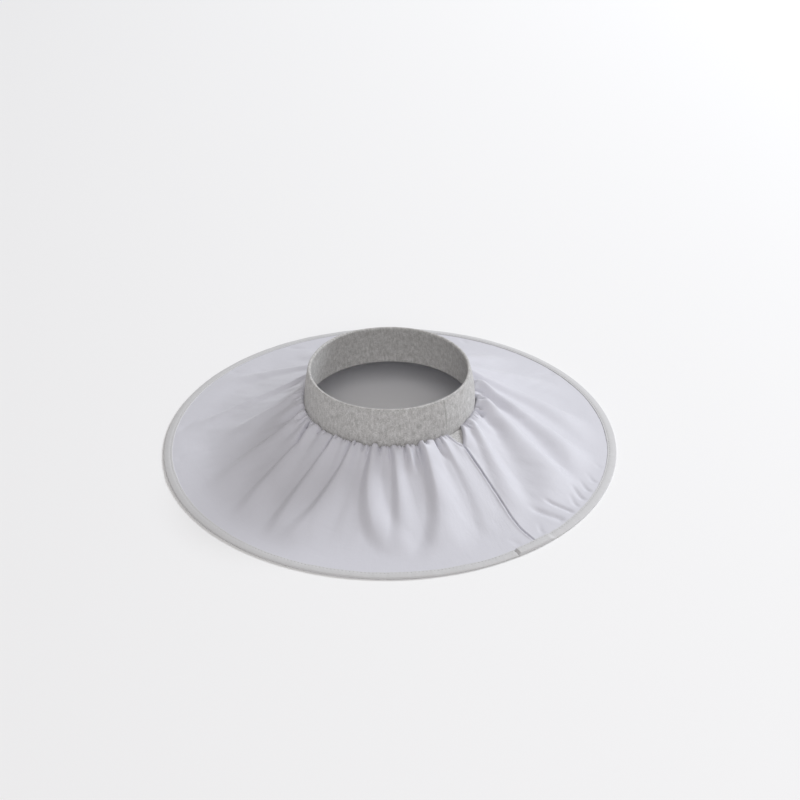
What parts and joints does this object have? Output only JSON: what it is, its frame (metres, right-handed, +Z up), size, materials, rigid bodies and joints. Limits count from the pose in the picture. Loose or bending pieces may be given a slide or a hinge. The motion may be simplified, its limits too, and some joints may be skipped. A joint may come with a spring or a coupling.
{
  "type": "soft recovery cone",
  "caption": "Flat ring-shaped cloth recovery collar for a small dog: a gathered woven panel with a knitted stretch neck band and a bound outer rim.",
  "frame": {"origin": "on the surface that the rim rests on, below the centre of the neck opening", "axes": "+Z up along the neck opening's axis, out of the neck; -Y to the front; +X to the side nearer the panel's seam"},
  "size_m": [0.38, 0.38, 0.0745],
  "materials": {
    "woven_cloth": "smooth light blue-grey plain weave with a faint sheen",
    "knitted_cloth": "matt heather grey knit",
    "bias_tape": "matt woven grey bias tape"
  },
  "bodies": {
    "root": {"cone_panel": "woven_cloth", "neck_band": "knitted_cloth", "rim_binding": "bias_tape"}
  },
  "joints": []
}
